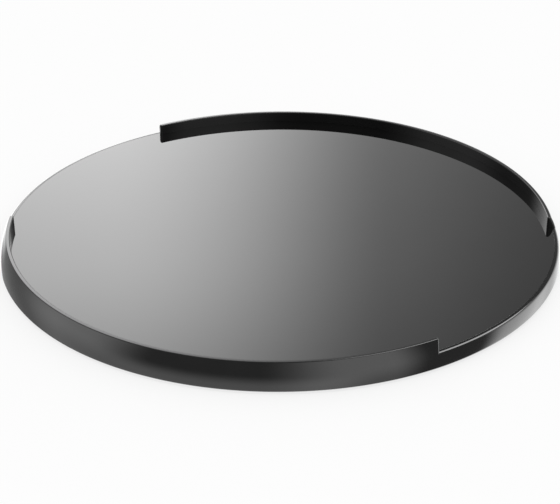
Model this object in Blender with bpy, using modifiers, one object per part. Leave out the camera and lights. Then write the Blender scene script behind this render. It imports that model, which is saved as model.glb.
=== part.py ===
"""Round serving tray: a gloss rim with two raised guards around a flush black glass plate.

Units are metres and +Z is up. The origin is the centre of the tray on the surface it stands on.
The two guards are centred on +Y and -Y, and the two open stretches of rim on +X and -X.
"""

import math

import bmesh
import bpy
from mathutils import Matrix, Vector

NAME = "serving_tray"

# Rim frame: the flared wall, its two guards and the low rim between them
OUTER_RADIUS = 0.1750
SKIRT_DEPTH = 0.0092
GUARD_HEIGHT = 0.0069
GUARD_TOP_THICKNESS = 0.0027
FLARE_RADIUS = 0.0350
SKIRT_LEAN = math.radians(5.0)
OPEN_ANGLE = math.radians(58.5)
RIM_LAND = 0.0011
RIM_EDGE_RADIUS = 0.0012
RIM_EDGE_SWEEP = math.radians(48.0)
GUARD_EDGE_RADIUS = 0.0004
SKIRT_EDGE_RADIUS = 0.0012

# Glass plate and the foam rings under it
PLATE_THICKNESS = 0.0030
PLATE_ARRIS = 0.0003
CUSHION_THICKNESS = 0.0008
CUSHION_WIDTH = 0.0060

# Base pan, pushed in from below and held by snap ribs
PAN_RECESS = 0.0008
PAN_FLOOR = 0.0018
PAN_WALL = 0.0022
CHANNEL_WIDTH = 0.0080
SUPPORT_WIDTH = 0.0020
SUPPORT_COUNT = 3
SPOKE_COUNT = 6
SPOKE_WIDTH = 0.0018
SPOKE_DROP = 0.0008
SNAP_COUNT = 8
SNAP_ANGLE = math.radians(12.0)
SNAP_REACH = 0.0007
SNAP_HEIGHT = 0.0010

# Rubber feet, each pushed through a hole in the pan
FOOT_DROP = 0.0012
FOOT_COUNT = 6
FOOT_RADIUS = 0.0080
FOOT_INSET = 0.0210
FOOT_EDGE = 0.0004
STEM_RADIUS = 0.0024
BARB_RADIUS = 0.0036
BARB_TIP_RADIUS = 0.0016
BARB_HEIGHT = 0.0016

# Clearances
SEAT_GAP = 0.0003
SIDE_GAP = 0.0003
OVERLAP = 0.0005
CUT_MARGIN = 0.0050

# Facets
RIM_STEPS = 96
PAN_STEPS = 96
CUSHION_STEPS = 72
FOOT_STEPS = 20
ARC_SEGMENTS = 6
EDGE_SEGMENTS = 3
MERGE_DISTANCE = 0.00001

# Heights above the table
skirt_bottom = FOOT_DROP
plate_top = skirt_bottom + SKIRT_DEPTH
plate_bottom = plate_top - PLATE_THICKNESS
guard_top = plate_top + GUARD_HEIGHT
lip_bottom = plate_top + SEAT_GAP
pan_bottom = skirt_bottom + PAN_RECESS
floor_top = pan_bottom + PAN_FLOOR
cushion_top = plate_bottom - SEAT_GAP
cushion_bottom = cushion_top - CUSHION_THICKNESS
support_top = cushion_bottom - SEAT_GAP
snap_middle = (pan_bottom + support_top) / 2

# Outer face of the wall: one arc, leaning slightly where it meets the skirt's rounded bottom edge
skirt_edge_r = OUTER_RADIUS - SKIRT_EDGE_RADIUS
skirt_edge_z = skirt_bottom + SKIRT_EDGE_RADIUS
flare_centre_r = skirt_edge_r - (FLARE_RADIUS - SKIRT_EDGE_RADIUS) * math.cos(SKIRT_LEAN)
flare_centre_z = skirt_edge_z - (FLARE_RADIUS - SKIRT_EDGE_RADIUS) * math.sin(SKIRT_LEAN)


def outer_radius_at(z):
    """Radius of the wall's outer face at height z."""
    return flare_centre_r + math.sqrt(FLARE_RADIUS**2 - (z - flare_centre_z) ** 2)


# Radii that follow from the outer face
guard_outer = outer_radius_at(guard_top)
guard_inner = guard_outer - GUARD_TOP_THICKNESS
rim_edge_centre_z = plate_top - RIM_EDGE_RADIUS
rim_edge_centre_r = flare_centre_r + math.sqrt(
    (FLARE_RADIUS - RIM_EDGE_RADIUS) ** 2 - (rim_edge_centre_z - flare_centre_z) ** 2
)
bore_radius = rim_edge_centre_r - RIM_LAND
plate_radius = bore_radius - SIDE_GAP
pan_radius = bore_radius - SIDE_GAP
snap_radius = pan_radius + SNAP_REACH
groove_radius = snap_radius + SIDE_GAP
channel_radius = pan_radius - CHANNEL_WIDTH
foot_circle = pan_radius - FOOT_INSET


def clear_scene():
    """Start from an empty scene."""
    for item in list(bpy.data.objects):
        bpy.data.objects.remove(item, do_unlink=True)


def new_collection(name):
    """A collection linked to the scene."""
    group = bpy.data.collections.new(name)
    bpy.context.scene.collection.children.link(group)
    return group


def new_material(name, colour, roughness, metallic=0.0):
    """A Principled material in one plain finish."""
    material = bpy.data.materials.new(name)
    material.use_nodes = True
    shader = material.node_tree.nodes["Principled BSDF"]
    shader.inputs["Base Color"].default_value = (*colour, 1.0)
    shader.inputs["Roughness"].default_value = roughness
    shader.inputs["Metallic"].default_value = metallic
    material.diffuse_color = (*colour, 1.0)
    return material


def new_object(name, mesh, group):
    """An object holding a mesh, in a collection."""
    item = bpy.data.objects.new(name, mesh)
    group.objects.link(item)
    return item


def place_part(name, mesh, material):
    """A visible piece of the tray, under the tray's empty."""
    mesh.materials.append(material)
    item = new_object(name, mesh, tray_group)
    item.parent = tray
    return item


def place_cutter(name, mesh):
    """A shape that only cuts or joins another one."""
    item = new_object(name, mesh, cutter_group)
    item.hide_render = True
    item.display_type = "WIRE"
    item.parent = tray
    return item


def arc(centre, radius, start, end, segments):
    """Points of an arc in the section plane, as (r, z) pairs, both ends included."""
    points = []
    for step in range(segments + 1):
        angle = start + (end - start) * step / segments
        points.append((centre[0] + radius * math.cos(angle), centre[1] + radius * math.sin(angle)))
    return points


def section_mesh(name, points, closed):
    """A turned piece's section as a wire in the XZ plane."""
    shape = bmesh.new()
    verts = [shape.verts.new((r, 0.0, z)) for r, z in points]
    for first, second in zip(verts, verts[1:]):
        shape.edges.new((first, second))
    if closed:
        shape.edges.new((verts[-1], verts[0]))
    mesh = bpy.data.meshes.new(name)
    shape.to_mesh(mesh)
    shape.free()
    return mesh


def turn(item, steps):
    """Turn an object's section a full circle about Z."""
    screw = item.modifiers.new("turned", "SCREW")
    screw.axis = "Z"
    screw.angle = math.tau
    screw.steps = steps
    screw.render_steps = steps
    screw.use_merge_vertices = True
    screw.merge_threshold = MERGE_DISTANCE
    screw.use_smooth_shade = True


def sector_mesh(name, points, angle, steps, turns):
    """Closed blocks made by swinging one section through an angle, once for each middle angle."""
    shape = bmesh.new()
    for middle in turns:
        start = Matrix.Rotation(middle - angle / 2, 3, "Z")
        verts = [shape.verts.new(start @ Vector((r, 0.0, z))) for r, z in points]
        face = shape.faces.new(verts)
        bmesh.ops.spin(
            shape,
            geom=[*verts, *face.edges, face],
            cent=(0.0, 0.0, 0.0),
            axis=(0.0, 0.0, 1.0),
            angle=angle,
            steps=steps,
            use_duplicate=False,
        )
    bmesh.ops.recalc_face_normals(shape, faces=shape.faces)
    mesh = bpy.data.meshes.new(name)
    shape.to_mesh(mesh)
    shape.free()
    return mesh


def combine(item, other, operation):
    """Cut or join another shape with an exact Boolean."""
    modifier = item.modifiers.new(other.name, "BOOLEAN")
    modifier.operation = operation
    modifier.object = other
    modifier.solver = "EXACT"


def make_rim_frame():
    """One moulded ring: flared wall, lip over the plate, snap groove, and two open stretches."""
    edge = GUARD_EDGE_RADIUS
    flare_centre = (flare_centre_r, flare_centre_z)
    lean_top = math.asin((guard_top - edge - flare_centre_z) / FLARE_RADIUS)
    groove_low = snap_middle - SNAP_HEIGHT / 2 - SEAT_GAP
    groove_high = snap_middle + SNAP_HEIGHT / 2 + SEAT_GAP
    quarter = math.pi / 2
    section = [
        (guard_inner, guard_top - edge),
        (guard_inner + edge, guard_top),
        (guard_outer - edge, guard_top),
        *arc(flare_centre, FLARE_RADIUS, lean_top, SKIRT_LEAN, ARC_SEGMENTS),
        *arc((skirt_edge_r, skirt_edge_z), SKIRT_EDGE_RADIUS, SKIRT_LEAN, -quarter, EDGE_SEGMENTS)[1:],
        (bore_radius, skirt_bottom),
        (bore_radius, groove_low),
        (groove_radius, groove_low),
        (groove_radius, groove_high),
        (bore_radius, groove_high),
        (bore_radius, lip_bottom),
        (guard_inner, lip_bottom),
    ]
    frame = place_part("rim_frame", section_mesh("rim_frame", section, True), gloss_black)
    turn(frame, RIM_STEPS)

    # The open stretches: everything above the low rim's flat land and rounded outer edge
    rim_centre = (rim_edge_centre_r, rim_edge_centre_z)
    leave = quarter - RIM_EDGE_SWEEP
    round_edge = arc(rim_centre, RIM_EDGE_RADIUS, quarter, leave, EDGE_SEGMENTS)
    far = round_edge[-1][0] + CUT_MARGIN * math.sin(leave)
    low = round_edge[-1][1] - CUT_MARGIN * math.cos(leave)
    near = guard_inner - CUT_MARGIN
    above = [
        (near, plate_top),
        *round_edge,
        (far, low),
        (far, guard_top + CUT_MARGIN),
        (near, guard_top + CUT_MARGIN),
    ]
    steps = max(2, round(RIM_STEPS * OPEN_ANGLE / math.tau))
    cut = sector_mesh("open_stretches", above, OPEN_ANGLE, steps, (0.0, math.pi))
    combine(frame, place_cutter("open_stretches", cut), "DIFFERENCE")


def make_top_plate():
    """Polished glass disc, flush with the low rim and held down by the guards' lips."""
    low = plate_bottom
    section = [
        (0.0, plate_top),
        (plate_radius - PLATE_ARRIS, plate_top),
        (plate_radius, plate_top - PLATE_ARRIS),
        (plate_radius, low + PLATE_ARRIS),
        (plate_radius - PLATE_ARRIS, low),
        (0.0, low),
    ]
    plate = place_part("top_plate", section_mesh("top_plate", section, False), black_glass)
    turn(plate, RIM_STEPS)


def support_radii():
    """Centre radii of the pan's upright rings, evenly spaced out to the channel."""
    return [channel_radius * (ring + 1) / SUPPORT_COUNT for ring in range(SUPPORT_COUNT)]


def make_base_pan():
    """Moulded underside: floor, outer wall with snap ribs, support rings, spokes and foot holes."""
    top = [(0.0, floor_top)]
    for radius in support_radii():
        inner = radius - SUPPORT_WIDTH / 2
        outer = radius + SUPPORT_WIDTH / 2
        top += [(inner, floor_top), (inner, support_top), (outer, support_top), (outer, floor_top)]
    wall_inner = pan_radius - PAN_WALL
    section = [
        *top,
        (wall_inner, floor_top),
        (wall_inner, support_top),
        (pan_radius, support_top),
        (pan_radius, pan_bottom),
        (0.0, pan_bottom),
    ]
    pan = place_part("base_pan", section_mesh("base_pan", section, False), matt_black)
    turn(pan, PAN_STEPS)

    # Snap ribs on the wall, which click into the groove of the rim frame
    half = SNAP_HEIGHT / 2
    rib = [
        (pan_radius - PAN_WALL / 2, snap_middle + half),
        (pan_radius, snap_middle + half),
        (snap_radius, snap_middle),
        (pan_radius, snap_middle - half),
        (pan_radius - PAN_WALL / 2, snap_middle - half),
    ]
    turns = [math.tau * (number + 0.5) / SNAP_COUNT for number in range(SNAP_COUNT)]
    ribs = place_cutter("snap_ribs", sector_mesh("snap_ribs", rib, SNAP_ANGLE, 4, turns))
    combine(pan, ribs, "UNION")

    # Spokes from the innermost support ring to the outermost, always standing above the floor
    radii = support_radii()
    length = radii[-1] - radii[0]
    low = floor_top - OVERLAP
    drop = min(SPOKE_DROP, (support_top - floor_top) / 2)
    high = support_top - drop
    shape = bmesh.new()
    for number in range(SPOKE_COUNT):
        size = Matrix.Diagonal((length, SPOKE_WIDTH, high - low, 1.0))
        out = Matrix.Translation(((radii[0] + radii[-1]) / 2, 0.0, (low + high) / 2))
        around = Matrix.Rotation(math.tau * number / SPOKE_COUNT, 4, "Z")
        bmesh.ops.create_cube(shape, size=1.0, matrix=around @ out @ size)
    mesh = bpy.data.meshes.new("spokes")
    shape.to_mesh(mesh)
    shape.free()
    combine(pan, place_cutter("spokes", mesh), "UNION")

    # Holes for the feet
    shape = bmesh.new()
    for angle in foot_angles():
        centre = Matrix.Rotation(angle, 4, "Z") @ Matrix.Translation((foot_circle, 0.0, pan_bottom))
        bmesh.ops.create_cone(
            shape,
            cap_ends=True,
            segments=FOOT_STEPS,
            radius1=STEM_RADIUS + SIDE_GAP,
            radius2=STEM_RADIUS + SIDE_GAP,
            depth=4 * PAN_FLOOR,
            matrix=centre,
        )
    mesh = bpy.data.meshes.new("foot_holes")
    shape.to_mesh(mesh)
    shape.free()
    combine(pan, place_cutter("foot_holes", mesh), "DIFFERENCE")


def make_cushions():
    """Foam rings between the pan's support rings and the glass, the outermost over the channel."""
    radii = support_radii()
    spans = [(radius - CUSHION_WIDTH / 2, radius + CUSHION_WIDTH / 2) for radius in radii[:-1]]
    spans.append((radii[-1] - CUSHION_WIDTH / 2, pan_radius - SIDE_GAP))
    for number, (inner, outer) in enumerate(spans, 1):
        name = f"cushion_ring_{number}"
        section = [
            (inner, cushion_top),
            (outer, cushion_top),
            (outer, cushion_bottom),
            (inner, cushion_bottom),
        ]
        ring = place_part(name, section_mesh(name, section, True), foam_grey)
        turn(ring, CUSHION_STEPS)


def foot_angles():
    """Directions of the feet, halfway between the spokes."""
    return [math.tau * (number + 0.5) / FOOT_COUNT for number in range(FOOT_COUNT)]


def make_feet():
    """Push-in rubber feet: a round pad, a stem through the pan and a barb above its floor."""
    pad_top = pan_bottom - SEAT_GAP
    barb_bottom = floor_top + SEAT_GAP
    section = [
        (0.0, barb_bottom + BARB_HEIGHT),
        (BARB_TIP_RADIUS, barb_bottom + BARB_HEIGHT),
        (BARB_RADIUS, barb_bottom),
        (STEM_RADIUS, barb_bottom),
        (STEM_RADIUS, pad_top),
        (FOOT_RADIUS, pad_top),
        (FOOT_RADIUS, FOOT_EDGE),
        (FOOT_RADIUS - FOOT_EDGE, 0.0),
        (0.0, 0.0),
    ]
    mesh = section_mesh("foot", section, False)
    mesh.materials.append(rubber_black)
    for number, angle in enumerate(foot_angles(), 1):
        foot = new_object(f"foot_{number}", mesh, tray_group)
        foot.parent = tray
        foot.location = (foot_circle * math.cos(angle), foot_circle * math.sin(angle), 0.0)
        turn(foot, FOOT_STEPS)


clear_scene()
tray_group = new_collection(NAME)
cutter_group = new_collection(f"{NAME}_cutters")
tray = bpy.data.objects.new(NAME, None)
tray_group.objects.link(tray)

gloss_black = new_material("gloss_black", (0.012, 0.012, 0.013), 0.15)
black_glass = new_material("black_glass", (0.008, 0.008, 0.009), 0.03)
matt_black = new_material("matt_black", (0.018, 0.018, 0.019), 0.60)
foam_grey = new_material("foam_grey", (0.060, 0.060, 0.062), 0.95)
rubber_black = new_material("rubber_black", (0.022, 0.022, 0.022), 0.75)

make_rim_frame()
make_top_plate()
make_base_pan()
make_cushions()
make_feet()
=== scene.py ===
import math

import bmesh
import bpy
from mathutils import Matrix, Vector


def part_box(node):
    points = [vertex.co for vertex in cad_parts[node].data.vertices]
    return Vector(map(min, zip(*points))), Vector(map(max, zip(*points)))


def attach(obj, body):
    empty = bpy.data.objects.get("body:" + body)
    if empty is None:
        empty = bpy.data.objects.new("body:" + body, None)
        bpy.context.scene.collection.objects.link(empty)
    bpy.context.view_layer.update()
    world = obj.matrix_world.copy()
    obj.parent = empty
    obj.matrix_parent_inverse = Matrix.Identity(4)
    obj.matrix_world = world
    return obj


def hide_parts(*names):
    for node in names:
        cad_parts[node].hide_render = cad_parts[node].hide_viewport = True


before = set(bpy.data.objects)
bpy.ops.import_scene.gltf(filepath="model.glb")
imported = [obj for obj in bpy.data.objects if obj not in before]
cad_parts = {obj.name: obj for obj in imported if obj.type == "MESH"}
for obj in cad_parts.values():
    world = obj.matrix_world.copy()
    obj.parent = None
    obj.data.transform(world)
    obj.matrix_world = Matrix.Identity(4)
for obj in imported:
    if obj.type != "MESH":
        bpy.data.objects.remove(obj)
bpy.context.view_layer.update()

# The view: a long lens looking down on the tray from between one guard's end and an open stretch.
# It looks at a point on the plate a little nearer than the middle, and leans by a third of a degree.
plate_low, plate_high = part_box("top_plate")
plate_top = plate_high.z
view_bearing = math.radians(-59.55)
view_elevation = math.radians(27.222)
view_distance = 0.93510
view_nearer = 0.03421
view_lean = math.radians(-0.315)
toward_view = Vector((math.cos(view_bearing), math.sin(view_bearing), 0.0))
across_view = Vector((-toward_view.y, toward_view.x, 0.0))
plate_centre = Vector((0.0, 0.0, plate_top))

lens = bpy.data.cameras.new("lens")
lens.lens = 95.254
lens.sensor_width = 36.0
lens.clip_start = 0.01
lens.clip_end = 50.0
camera = bpy.data.objects.new("camera", lens)
bpy.context.scene.collection.objects.link(camera)
eye = plate_centre + toward_view * view_distance * math.cos(view_elevation)
eye.z += view_distance * math.sin(view_elevation)
aim = plate_centre + toward_view * view_nearer
level_view = (aim - eye).to_track_quat("-Z", "Y").to_matrix().to_4x4()
camera.matrix_world = Matrix.Translation(eye) @ level_view @ Matrix.Rotation(view_lean, 4, "Z")
bpy.context.scene.camera = camera
bpy.context.scene.view_settings.view_transform = "Standard"


# The table: one wide seamless sheet of pale paper. It is seen nearly as plain white and keeps the
# tray's soft shadow. Gloss faces mirror the room and not this sheet, as the room has its own table.
table_half = 12.0
paper_tone = 0.93
paper_roughness = 0.9
paper_plain_white = 0.75

table_mesh = bpy.data.meshes.new("table_top")
table_shape = bmesh.new()
bmesh.ops.create_grid(table_shape, x_segments=8, y_segments=8, size=table_half)
table_shape.to_mesh(table_mesh)
table_shape.free()
table_top = bpy.data.objects.new("table_top", table_mesh)
bpy.context.scene.collection.objects.link(table_top)
table_top.visible_glossy = False

paper = bpy.data.materials.new("seamless_paper")
paper.use_nodes = True
paper_nodes = paper.node_tree.nodes
paper_links = paper.node_tree.links
paper_shader = paper_nodes["Principled BSDF"]
paper_shader.inputs["Base Color"].default_value = (paper_tone, paper_tone, paper_tone, 1.0)
paper_shader.inputs["Roughness"].default_value = paper_roughness
paper_shader.inputs["Specular IOR Level"].default_value = 0.0
paper_white = paper_nodes.new("ShaderNodeEmission")
paper_white.inputs["Strength"].default_value = 1.0
paper_path = paper_nodes.new("ShaderNodeLightPath")
paper_share = paper_nodes.new("ShaderNodeMath")
paper_share.operation = "MULTIPLY"
paper_share.inputs[1].default_value = paper_plain_white
paper_mix = paper_nodes.new("ShaderNodeMixShader")
paper_links.new(paper_path.outputs["Is Camera Ray"], paper_share.inputs[0])
paper_links.new(paper_share.outputs[0], paper_mix.inputs["Fac"])
paper_links.new(paper_shader.outputs[0], paper_mix.inputs[1])
paper_links.new(paper_white.outputs[0], paper_mix.inputs[2])
paper_links.new(paper_mix.outputs[0], paper_nodes["Material Output"].inputs["Surface"])
table_mesh.materials.append(paper)


# The room: white all round, which lights the tray evenly. Gloss faces show what stands in it: a wide
# window behind and to the left, tall soft panels left, right and in front, one panel overhead that
# leans to the right, and the pale table. Angles are in degrees, and strengths are shares of white.
room = bpy.data.worlds.new("studio")
room.use_nodes = True
bpy.context.scene.world = room
room_nodes = room.node_tree.nodes
room_links = room.node_tree.links
room_nodes.clear()


def room_maths(operation, first, second=0.0):
    """A Math node on one or two values, which may be sockets or numbers."""
    node = room_nodes.new("ShaderNodeMath")
    node.operation = operation
    for socket, value in zip(node.inputs, (first, second)):
        if isinstance(value, float):
            socket.default_value = value
        else:
            room_links.new(value, socket)
    return node.outputs[0]


def room_sum(*lights):
    """Several lights added up."""
    total = lights[0]
    for light in lights[1:]:
        total = room_maths("ADD", total, light)
    return total


def room_fade(value, start, end, first_level, last_level):
    """A smooth change from one level to another as a value goes from start to end."""
    node = room_nodes.new("ShaderNodeMapRange")
    node.interpolation_type = "SMOOTHSTEP"
    node.inputs["From Min"].default_value = start
    node.inputs["From Max"].default_value = end
    node.inputs["To Min"].default_value = first_level
    node.inputs["To Max"].default_value = last_level
    room_links.new(value, node.inputs["Value"])
    return node.outputs["Result"]


def room_hump(value, rise, fall, strength):
    """A strip of light that comes up over one range of a value and goes down over another."""
    rising = room_fade(value, *rise, 0.0, strength)
    return room_maths("MULTIPLY", rising, room_fade(value, *fall, 1.0, 0.0))


def room_along(direction):
    """How far the direction looked in points along another one."""
    node = room_nodes.new("ShaderNodeVectorMath")
    node.operation = "DOT_PRODUCT"
    node.inputs[1].default_value = direction
    room_links.new(room_ray.outputs["Generated"], node.inputs[0])
    return node.outputs["Value"]


def room_degrees(angle):
    """An angle in degrees."""
    return room_maths("MULTIPLY", angle, 180.0 / math.pi)


# Bearing runs from straight ahead of the lens, turned from straight behind it, both to the right
room_ray = room_nodes.new("ShaderNodeTexCoord")
rightward = room_along(across_view)
bearing = room_degrees(room_maths("ARCTAN2", rightward, room_along(-toward_view)))
turned = room_degrees(room_maths("ARCTAN2", rightward, room_along(toward_view)))
elevation = room_degrees(room_maths("ARCSINE", room_along((0.0, 0.0, 1.0))))

window = room_sum(
    room_hump(bearing, rise=(-38.0, -7.0), fall=(-7.5, 5.0), strength=3.0),
    room_hump(bearing, rise=(-38.0, -24.0), fall=(-3.0, 14.0), strength=1.0),
    room_hump(bearing, rise=(-38.0, 6.0), fall=(11.0, 20.0), strength=0.16),
)
window_height = room_hump(elevation, rise=(16.0, 22.0), fall=(28.0, 42.0), strength=1.0)
window = room_maths("MULTIPLY", window, window_height)

# Below the window: a pale backdrop on the left, a dimmer one on the right, and the table's far side
backdrop_height = room_hump(elevation, rise=(-22.0, -12.0), fall=(16.0, 23.0), strength=1.0)
backdrop = room_hump(bearing, rise=(-40.0, -30.0), fall=(-10.0, -4.0), strength=2.0)
backdrop = room_maths("MULTIPLY", backdrop, backdrop_height)
far_wall_height = room_hump(elevation, rise=(6.0, 13.0), fall=(20.0, 24.0), strength=1.0)
far_wall = room_hump(bearing, rise=(-3.0, 6.0), fall=(16.0, 26.0), strength=0.35)
far_wall = room_maths("MULTIPLY", far_wall, far_wall_height)
far_table = room_hump(bearing, rise=(-31.0, -23.0), fall=(4.0, 10.0), strength=1.3)
far_table = room_maths("MULTIPLY", far_table, room_fade(elevation, -12.0, 2.0, 1.0, 0.0))

# The panels fade above head height, and some of them toward the floor. The far right one is low.
toward_floor = room_fade(elevation, -25.0, 5.0, 0.55, 1.0)
left_panel = room_hump(bearing, rise=(-132.0, -104.0), fall=(-90.0, -54.0), strength=1.9)
left_panel = room_maths("MULTIPLY", left_panel, toward_floor)
front_panel = room_hump(turned, rise=(-8.0, 26.0), fall=(42.0, 58.0), strength=1.8)
front_panel = room_maths("MULTIPLY", front_panel, toward_floor)
right_panel = room_hump(bearing, rise=(44.0, 64.0), fall=(85.0, 99.0), strength=1.6)
far_right_panel = room_hump(bearing, rise=(11.0, 20.0), fall=(85.0, 99.0), strength=1.3)
far_right_panel = room_maths("MULTIPLY", far_right_panel, room_fade(elevation, 8.0, 22.0, 1.0, 0.0))
panels = room_sum(left_panel, front_panel, right_panel, far_right_panel)
panels = room_maths("MULTIPLY", panels, room_fade(elevation, 26.0, 40.0, 1.0, 0.1))
side_wall = room_hump(bearing, rise=(-70.0, -55.0), fall=(-24.0, -14.0), strength=0.22)

# The table in front, and the panel overhead, which is a round patch about a leaning direction
near_table = room_hump(turned, rise=(-75.0, -50.0), fall=(10.0, 40.0), strength=1.15)
near_table = room_maths("MULTIPLY", near_table, room_fade(elevation, -18.0, 4.0, 1.0, 0.0))
overhead_height = math.radians(57.0)
overhead_bearing = math.radians(55.0)
overhead_way = across_view * math.sin(overhead_bearing) - toward_view * math.cos(overhead_bearing)
overhead_way = overhead_way * math.cos(overhead_height)
overhead_way.z = math.sin(overhead_height)
overhead_angle = room_degrees(room_maths("ARCCOSINE", room_along(overhead_way)))
overhead = room_fade(overhead_angle, 16.0, 25.0, 7.0, 0.0)

dim_rest = 0.26
level_of_light = 1.30
glow = room_sum(window, backdrop, far_wall, far_table, panels, side_wall, near_table, overhead)
glow = room_maths("MULTIPLY", room_maths("ADD", glow, dim_rest), level_of_light)

room_mirrored = room_nodes.new("ShaderNodeBackground")
room_links.new(glow, room_mirrored.inputs["Strength"])
room_white = room_nodes.new("ShaderNodeBackground")
room_white.inputs["Color"].default_value = (1.0, 1.0, 1.0, 1.0)
room_white.inputs["Strength"].default_value = 1.0
room_path = room_nodes.new("ShaderNodeLightPath")
room_mix = room_nodes.new("ShaderNodeMixShader")
room_out = room_nodes.new("ShaderNodeOutputWorld")
room_links.new(room_path.outputs["Is Glossy Ray"], room_mix.inputs["Fac"])
room_links.new(room_white.outputs[0], room_mix.inputs[1])
room_links.new(room_mirrored.outputs[0], room_mix.inputs[2])
room_links.new(room_mix.outputs[0], room_out.inputs["Surface"])


# Rim frame: one ring moulded in gloss black plastic. A flared wall runs all the way round, and two
# guards stand on it. Between them the low rim is a land that falls slightly outward to a rolled edge.
# The guards' lips overhang the plate, and a groove inside takes the pan's snap ribs.
rim_low, rim_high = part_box("rim_frame")
skirt_bottom = rim_low.z
guard_top = rim_high.z
rim_radius = rim_high.x
flare_radius = 0.0350
skirt_lean = math.radians(5.0)
skirt_round = 0.0012
land_slope = math.radians(7.0)
low_rim_round = 0.0017
open_angle = math.radians(58.5)
guard_angle = math.pi - open_angle
guard_thickness = 0.0024
guard_draft = math.radians(0.5)
guard_top_slope = math.radians(1.5)
guard_round = 0.0006
guard_end_round = 0.0010
guard_end_top_round = 0.0005
finish_sweep = math.radians(27.0)
finish_sweep_run = 0.0150
lip_gap = 0.00002
bore_gap = 0.00005
bore_chamfer = 0.00005
snap_middle = 0.0040
snap_half_groove = 0.0008
snap_groove_depth = 0.0010
rim_station_step = math.radians(1.0)
merge_within = 0.000002
sharp_from = math.radians(32.0)
wipe_turn = math.radians(28.0)
wipe_stretch = (60.0, 2200.0, 60.0)
wipe_smooth = 0.8
wipe_dull = 1.6
cloud_scale = 35.0
cloud_dark = 0.8
cloud_light = 1.2

bore = plate_high.x + bore_gap
lip_bottom = plate_top + lip_gap
skirt_round_r = rim_radius - skirt_round
skirt_round_z = skirt_bottom + skirt_round
flare_r = skirt_round_r - (flare_radius - skirt_round) * math.cos(skirt_lean)
flare_z = skirt_round_z - (flare_radius - skirt_round) * math.sin(skirt_lean)


def wall_radius(z):
    """Radius of the flared wall's outer face at a height."""
    return flare_r + math.sqrt(flare_radius**2 - (z - flare_z) ** 2)


def slide_to_wall(r, z, slope, radius):
    """A round's centre slid outward down a slope until the round touches the wall, and how far."""
    across = r - flare_r
    above = z - flare_z
    half = across * math.cos(slope) - above * math.sin(slope)
    slid = -half + math.sqrt(half**2 - across**2 - above**2 + (flare_radius - radius) ** 2)
    return r + slid * math.cos(slope), z - slid * math.sin(slope), slid


def arc_points(centre_r, centre_z, radius, start, end, count):
    """Points of an arc in the section plane, both ends included."""
    turns = [start + (end - start) * step / count for step in range(count + 1)]
    return [(centre_r + radius * math.cos(turn), centre_z + radius * math.sin(turn)) for turn in turns]


wall_top = wall_radius(guard_top)
guard_inner = wall_top - guard_thickness
land_start = bore + bore_chamfer
low_round_r, low_round_z, land_length = slide_to_wall(
    land_start - low_rim_round * math.sin(land_slope),
    plate_top - low_rim_round * math.cos(land_slope),
    land_slope,
    low_rim_round,
)
low_round_end = math.atan2(low_round_z - flare_z, low_round_r - flare_r)
round_length = low_rim_round * (math.pi / 2 - land_slope - low_round_end)


def low_rim_point(travel):
    """The point this far along the low rim's face, from the wall up over the rolled edge and inward."""
    if travel < round_length:
        turn = low_round_end + travel / low_rim_round
        return (
            low_round_r + low_rim_round * math.cos(turn),
            low_round_z + low_rim_round * math.sin(turn),
        )
    left = land_length - (travel - round_length)
    return (land_start + left * math.cos(land_slope), plate_top - left * math.sin(land_slope))


def reach_of_inset(inset):
    """How far along the low rim's face a guard wall set in by this much comes down on it."""
    if inset == 0.0:
        return 0.0
    low, high = 0.0, round_length + land_length
    for _ in range(50):
        middle = (low + high) / 2
        r, z = low_rim_point(middle)
        if r > wall_radius(z) - inset:
            low = middle
        else:
            high = middle
    return (low + high) / 2


def set_in(distance, radius):
    """How far a rounded end sets its side in, at a distance from the end."""
    if distance >= radius:
        return 0.0
    return radius - math.sqrt(radius**2 - (radius - distance) ** 2)


# The section, from the bore's foot up, over the top and down the outside, back to the bore's foot
end_reach = reach_of_inset(guard_end_round)
rolled = [round_length * step / 8 for step in range(9)]
landed = [round_length + land_length * step / 3 for step in range(1, 4)]
travels = sorted({*rolled, *landed, end_reach})
under_guard_end = [travel for travel in travels if 0.0 < travel <= end_reach]
bore_face = [
    (bore, skirt_bottom),
    (bore, snap_middle - snap_half_groove),
    (bore + snap_groove_depth, snap_middle - snap_half_groove),
    (bore + snap_groove_depth, snap_middle + snap_half_groove),
    (bore, snap_middle + snap_half_groove),
    (bore, plate_top - bore_chamfer),
]
open_face = [low_rim_point(travel) for travel in reversed(travels[1:])]
skirt_face = [
    low_rim_point(0.0),
    *arc_points(flare_r, flare_z, flare_radius, low_round_end, skirt_lean, 10)[1:],
    *arc_points(skirt_round_r, skirt_round_z, skirt_round, skirt_lean, -math.pi / 2, 8)[1:],
]


def guard_face(distance):
    """The guard's section above the low rim, lip to outer wall, at a distance from the guard's end."""
    inset = set_in(distance, guard_end_round)
    drop = set_in(distance, guard_end_top_round)
    corner = max(guard_round - drop / 2, guard_round / 2)
    corner_z = guard_top - drop - corner
    height = corner_z - lip_bottom
    foot = guard_inner + inset
    lean_in = height * math.tan(guard_draft)
    upright = math.pi / 2 - guard_top_slope
    inner_r = foot + lean_in + corner
    outer_r, outer_z, _ = slide_to_wall(inner_r + inset, corner_z, guard_top_slope, corner)
    wall_turn = math.atan2(outer_z - flare_z, outer_r - flare_r)
    face = [(bore, lip_bottom)]
    face += [(foot + lean_in * step / 3, lip_bottom + height * step / 3) for step in range(3)]
    face += arc_points(inner_r, corner_z, corner, math.pi - guard_draft, upright, 6)
    face += arc_points(outer_r - inset, outer_z, corner, upright, wall_turn, 5)
    reach = reach_of_inset(inset)
    start_z = outer_z + corner * math.sin(wall_turn)
    foot_z = low_rim_point(reach)[1]
    for step in range(1, 10):
        z = start_z + (foot_z - start_z) * step / 10
        face.append((wall_radius(z) - inset, z))
    face += [low_rim_point(min(travel, reach)) for travel in reversed(under_guard_end)]
    return face


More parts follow.
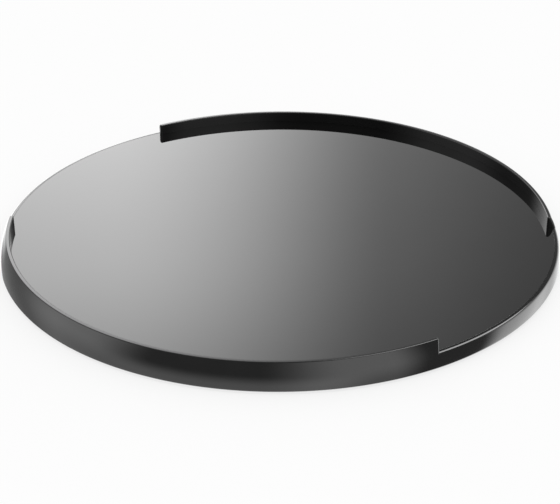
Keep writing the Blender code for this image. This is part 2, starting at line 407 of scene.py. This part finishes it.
def add_station(shape, turn, section, sweep=0.0):
    """A ring of corners at one bearing round the tray, with its flared part swept by a slope."""
    corners = []
    for r, z in section:
        here = turn + sweep * max(r - wall_top, 0.0) / r
        corners.append(shape.verts.new((r * math.cos(here), r * math.sin(here), z)))
    return corners


def sweep_at(turn, guard_finish):
    """The flare's sweep: full at a guard's finish, where the end is cut back, and none further off."""
    return -math.tan(finish_sweep) * max(1.0 - abs(turn - guard_finish) * bore / finish_sweep_run, 0.0)


def join_stations(shape, first, second, closed=True):
    """The strip of faces between two neighbouring rings of corners."""
    count = len(first)
    for number in range(count if closed else count - 1):
        after = (number + 1) % count
        shape.faces.new((first[number], first[after], second[after], second[number]))


def finish_mesh(shape, name, crease):
    """A smooth-shaded object from a shape, with edges sharper than the crease kept sharp."""
    bmesh.ops.remove_doubles(shape, verts=shape.verts, dist=merge_within)
    bmesh.ops.dissolve_degenerate(shape, edges=shape.edges, dist=merge_within)
    bmesh.ops.recalc_face_normals(shape, faces=shape.faces)
    mesh = bpy.data.meshes.new(name)
    shape.to_mesh(mesh)
    shape.free()
    for face in mesh.polygons:
        face.use_smooth = True
    mesh.set_sharp_from_angle(angle=crease)
    piece = bpy.data.objects.new(name, mesh)
    bpy.context.scene.collection.objects.link(piece)
    level_normals = piece.modifiers.new("level_normals", "WEIGHTED_NORMAL")
    level_normals.keep_sharp = True
    return piece


def guard_stations(guard_start, guard_finish):
    """Bearings along a guard, close together on its rounded ends, with distances from its ends."""
    shares = [1 - math.cos(math.pi / 2 * step / 6) for step in range(7)]
    distances = [guard_end_round * share for share in shares]
    turns = [distance / bore for distance in distances]
    span = guard_finish - guard_start - 2 * turns[-1]
    count = round(span / rim_station_step)
    stations = [(guard_start + turn, distance) for turn, distance in zip(turns, distances)]
    for step in range(1, count):
        stations.append((guard_start + turns[-1] + span * step / count, math.inf))
    for turn, distance in zip(reversed(turns), reversed(distances)):
        stations.append((guard_finish - turn, distance))
    return stations


rim_shape = bmesh.new()
for guard_middle in (math.pi / 2, -math.pi / 2):
    guard_start = guard_middle - guard_angle / 2
    guard_finish = guard_middle + guard_angle / 2
    rings = []
    for turn, distance in guard_stations(guard_start, guard_finish):
        section = bore_face + guard_face(distance) + skirt_face
        rings.append(add_station(rim_shape, turn, section, sweep_at(turn, guard_finish)))
    for first, second in zip(rings, rings[1:]):
        join_stations(rim_shape, first, second)

    # Each end is closed by one face, down to the low rim's land
    clear_land = open_face[: len(open_face) - len(under_guard_end)]
    lip_corner = len(bore_face)
    foot_corner = lip_corner + len(guard_face(0.0)) - len(under_guard_end)
    for ring, turn in ((rings[0], guard_start), (rings[-1], guard_finish)):
        land = add_station(rim_shape, turn, clear_land, sweep_at(turn, guard_finish))
        rim_shape.faces.new([*ring[lip_corner - 1 : foot_corner + 1], *reversed(land)])

    open_count = round(open_angle / rim_station_step)
    rings = []
    for step in range(open_count + 1):
        turn = guard_finish + open_angle * step / open_count
        section = bore_face + open_face + skirt_face
        rings.append(add_station(rim_shape, turn, section, sweep_at(turn, guard_finish)))
    for first, second in zip(rings, rings[1:]):
        join_stations(rim_shape, first, second)
rim = finish_mesh(rim_shape, "gloss_rim", sharp_from)


def start_finish(name):
    """A new material with its object coordinates ready for patterns."""
    finish = bpy.data.materials.new(name)
    finish.use_nodes = True
    finish.node_tree.nodes.new("ShaderNodeTexCoord").name = "place"
    return finish


def add_noise(finish, scale, detail, stretch=None, turn=0.0):
    """Cloudy noise with so many ups and downs to the metre, which may be stretched and turned."""
    nodes = finish.node_tree.nodes
    links = finish.node_tree.links
    place = nodes["place"].outputs["Object"]
    if stretch:
        mapping = nodes.new("ShaderNodeMapping")
        mapping.inputs["Rotation"].default_value = (0.0, 0.0, turn)
        mapping.inputs["Scale"].default_value = stretch
        links.new(place, mapping.inputs["Vector"])
        place = mapping.outputs["Vector"]
    noise = nodes.new("ShaderNodeTexNoise")
    noise.inputs["Scale"].default_value = scale
    noise.inputs["Detail"].default_value = detail
    links.new(place, noise.inputs["Vector"])
    return noise.outputs["Fac"]


def add_relief(finish, pattern, strength, depth):
    """Fine relief on the surface, from a pattern."""
    nodes = finish.node_tree.nodes
    bump = nodes.new("ShaderNodeBump")
    bump.inputs["Strength"].default_value = strength
    bump.inputs["Distance"].default_value = depth
    finish.node_tree.links.new(pattern, bump.inputs["Height"])
    finish.node_tree.links.new(bump.outputs["Normal"], nodes["Principled BSDF"].inputs["Normal"])


def add_shades(finish, pattern, dark, light, dark_at, light_at):
    """A colour that wanders between two shades with a pattern."""
    nodes = finish.node_tree.nodes
    shade = nodes.new("ShaderNodeValToRGB")
    for element, colour, position in zip(
        shade.color_ramp.elements, (dark, light), (dark_at, light_at)
    ):
        element.position = position
        element.color = (*colour, 1.0)
    finish.node_tree.links.new(pattern, shade.inputs["Fac"])
    finish.node_tree.links.new(shade.outputs["Color"], nodes["Principled BSDF"].inputs["Base Color"])


def add_dullness(finish, pattern, smooth, dull, smooth_at=0.0, dull_at=1.0):
    """A roughness that wanders between two values with a pattern."""
    nodes = finish.node_tree.nodes
    spread = nodes.new("ShaderNodeMapRange")
    spread.inputs["From Min"].default_value = smooth_at
    spread.inputs["From Max"].default_value = dull_at
    spread.inputs["To Min"].default_value = smooth
    spread.inputs["To Max"].default_value = dull
    finish.node_tree.links.new(pattern, spread.inputs["Value"])
    finish.node_tree.links.new(spread.outputs["Result"], nodes["Principled BSDF"].inputs["Roughness"])


def polished_black(name, tint, roughness, ripple_depth, ripple_size):
    """Black gloss with the faint ripple of a moulded or poured face and fine wiping marks."""
    finish = start_finish(name)
    ripple = add_noise(finish, scale=1.0 / ripple_size, detail=2.0)
    add_relief(finish, ripple, strength=1.0, depth=ripple_depth)
    wipe = add_noise(finish, scale=1.0, detail=4.0, stretch=wipe_stretch, turn=wipe_turn)
    smoothest = roughness * wipe_smooth
    dullest = roughness * wipe_dull
    add_dullness(finish, wipe, smoothest, dullest, smooth_at=0.35, dull_at=0.75)
    cloud = add_noise(finish, scale=cloud_scale, detail=3.0)
    darkest = (tint * cloud_dark,) * 3
    lightest = (tint * cloud_light,) * 3
    add_shades(finish, cloud, darkest, lightest, dark_at=0.3, light_at=0.7)
    return finish


rim_gloss = polished_black(
    "gloss_black_moulding", tint=0.006, roughness=0.09, ripple_depth=0.0000010, ripple_size=0.0030
)
rim.data.materials.append(rim_gloss)
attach(rim, "root")
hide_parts("rim_frame")


# Top plate: a disc of float glass, backed with black lacquer, its edges ground to a small arris and
# polished. It lies loose in the rim, level with the low rim's land and under the guards' lips.
plate_radius = plate_high.x
plate_bottom = plate_low.z
plate_arris = 0.0001
plate_flat_border = 0.0006
plate_steps = 360


def turned_piece(name, outline, steps, crease, closed=False):
    """A turned piece from its section. An open outline is closed by a flat at each of its ends."""
    shape = bmesh.new()
    rings = [add_station(shape, math.tau * step / steps, outline) for step in range(steps)]
    for first, second in zip(rings, rings[1:] + rings[:1]):
        join_stations(shape, first, second, closed)
    if not closed:
        shape.faces.new([ring[0] for ring in rings])
        shape.faces.new([ring[-1] for ring in rings])
    return finish_mesh(shape, name, crease)


arris_r = plate_radius - plate_arris
plate_outline = [
    (arris_r - plate_flat_border, plate_top),
    *arc_points(arris_r, plate_top - plate_arris, plate_arris, math.pi / 2, 0.0, 5),
    *arc_points(arris_r, plate_bottom + plate_arris, plate_arris, 0.0, -math.pi / 2, 5),
    (arris_r - plate_flat_border, plate_bottom),
]
plate = turned_piece("glass_plate", plate_outline, plate_steps, sharp_from)
plate_gloss = polished_black(
    "black_backed_glass", tint=0.004, roughness=0.020, ripple_depth=0.0000002, ripple_size=0.0200
)
plate.data.materials.append(plate_gloss)
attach(plate, "root")
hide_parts("top_plate")


# Foam rings: three rings cut from closed-cell foam tape, stuck on the pan's support ribs. They take
# up the play under the glass, and their cut edges are slightly rounded by its weight.
foam_round = 0.00025
foam_steps = 180
foam_sharp_from = math.radians(50.0)
foam_cells = 3500.0
foam_cell_depth = 0.00008
foam_roughness = 0.92
foam_dark = (0.045, 0.045, 0.048)
foam_light = (0.075, 0.075, 0.080)
mottle_scale = 240.0
ring_names = sorted(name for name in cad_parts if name.startswith("cushion_ring"))


def closed_cell_foam():
    """Grey foam with fine closed cells and a skin mottled by handling."""
    finish = start_finish("closed_cell_foam")
    nodes = finish.node_tree.nodes
    nodes["Principled BSDF"].inputs["Roughness"].default_value = foam_roughness
    cells = nodes.new("ShaderNodeTexVoronoi")
    cells.inputs["Scale"].default_value = foam_cells
    finish.node_tree.links.new(nodes["place"].outputs["Object"], cells.inputs["Vector"])
    add_relief(finish, cells.outputs["Distance"], strength=0.8, depth=foam_cell_depth)
    mottle = add_noise(finish, scale=mottle_scale, detail=5.0)
    add_shades(finish, mottle, foam_dark, foam_light, dark_at=0.35, light_at=0.65)
    return finish


def smallest_radius(node_name):
    """Radius of the hole through a round node of the frame."""
    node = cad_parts[node_name]
    return min((node.matrix_world @ vert.co).xy.length for vert in node.data.vertices)


foam = closed_cell_foam()
for node_name in ring_names:
    ring_low, ring_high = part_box(node_name)
    outer_middle = ring_high.x - foam_round
    inner_middle = smallest_radius(node_name) + foam_round
    top_middle = ring_high.z - foam_round
    bottom_middle = ring_low.z + foam_round
    foam_outline = [
        *arc_points(outer_middle, bottom_middle, foam_round, -math.pi / 2, 0.0, 3),
        *arc_points(outer_middle, top_middle, foam_round, 0.0, math.pi / 2, 3),
        *arc_points(inner_middle, top_middle, foam_round, math.pi / 2, math.pi, 3),
        *arc_points(inner_middle, bottom_middle, foam_round, math.pi, math.pi * 1.5, 3),
    ]
    ring_name = node_name.replace("cushion", "foam")
    ring_piece = turned_piece(ring_name, foam_outline, foam_steps, foam_sharp_from, closed=True)
    ring_piece.data.materials.append(foam)
    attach(ring_piece, "root")
    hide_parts(node_name)


# Base pan: the underside, moulded in matt black plastic with support rings, spokes and foot holes.
# It pushes up into the rim frame until its ribs click into the groove. The mould was spark-textured.
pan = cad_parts["base_pan"]
grain_scale = 2600.0
grain_depth = 0.00004
flow_scale = 18.0
pan_dark = (0.016, 0.016, 0.016)
pan_light = (0.026, 0.026, 0.027)
pan_smooth = 0.45
pan_dull = 0.62


def spark_textured_plastic():
    """Matt black plastic with a fine spark-eroded grain and slight flow shading."""
    finish = start_finish("matt_black_moulding")
    grain = add_noise(finish, scale=grain_scale, detail=3.0)
    add_relief(finish, grain, strength=0.7, depth=grain_depth)
    flow = add_noise(finish, scale=flow_scale, detail=6.0)
    add_shades(finish, flow, pan_dark, pan_light, dark_at=0.3, light_at=0.7)
    add_dullness(finish, flow, pan_smooth, pan_dull)
    return finish


pan.data.materials.clear()
pan.data.materials.append(spark_textured_plastic())


# Feet: six push-in pads of soft black rubber, each a round pad with a stem and a barb. The stem is
# pressed through its hole in the pan, and the barb keeps it there.
foot_radius = 0.0080
foot_round = 0.0005
foot_face_border = 0.0008
pad_top = 0.0017
pad_top_round = 0.0002
stem_radius = 0.0024
barb_radius = 0.0036
barb_tip = 0.0016
barb_height = 0.0016
foot_steps = 64
bloom_scale = 420.0
bloom_depth = 0.00005
rubber_dark = (0.014, 0.014, 0.014)
rubber_light = (0.034, 0.034, 0.035)
rubber_smooth = 0.62
rubber_dull = 0.88
foot_names = sorted(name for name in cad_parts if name.startswith("foot_"))


def soft_black_rubber():
    """Black rubber, dull and slightly grey where it has been handled."""
    finish = start_finish("soft_black_rubber")
    bloom = add_noise(finish, scale=bloom_scale, detail=6.0)
    add_shades(finish, bloom, rubber_dark, rubber_light, dark_at=0.3, light_at=0.75)
    add_dullness(finish, bloom, rubber_smooth, rubber_dull)
    add_relief(finish, bloom, strength=0.5, depth=bloom_depth)
    return finish


rubber = soft_black_rubber()
pad_edge_r = foot_radius - foot_round
pad_corner_r = foot_radius - pad_top_round
for node_name in foot_names:
    foot_low, foot_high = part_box(node_name)
    foot_centre = (foot_low + foot_high) / 2
    foot_centre.z = 0.0
    foot_outline = [
        (pad_edge_r - foot_face_border, 0.0),
        *arc_points(pad_edge_r, foot_round, foot_round, -math.pi / 2, 0.0, 5),
        *arc_points(pad_corner_r, pad_top - pad_top_round, pad_top_round, 0.0, math.pi / 2, 3),
        (stem_radius, pad_top),
        (stem_radius, foot_high.z - barb_height),
        (barb_radius, foot_high.z - barb_height),
        (barb_tip, foot_high.z),
    ]
    foot = turned_piece("rubber_" + node_name, foot_outline, foot_steps, sharp_from)
    foot.data.transform(Matrix.Translation(foot_centre))
    foot.data.materials.append(rubber)
    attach(foot, "root")
    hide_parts(node_name)
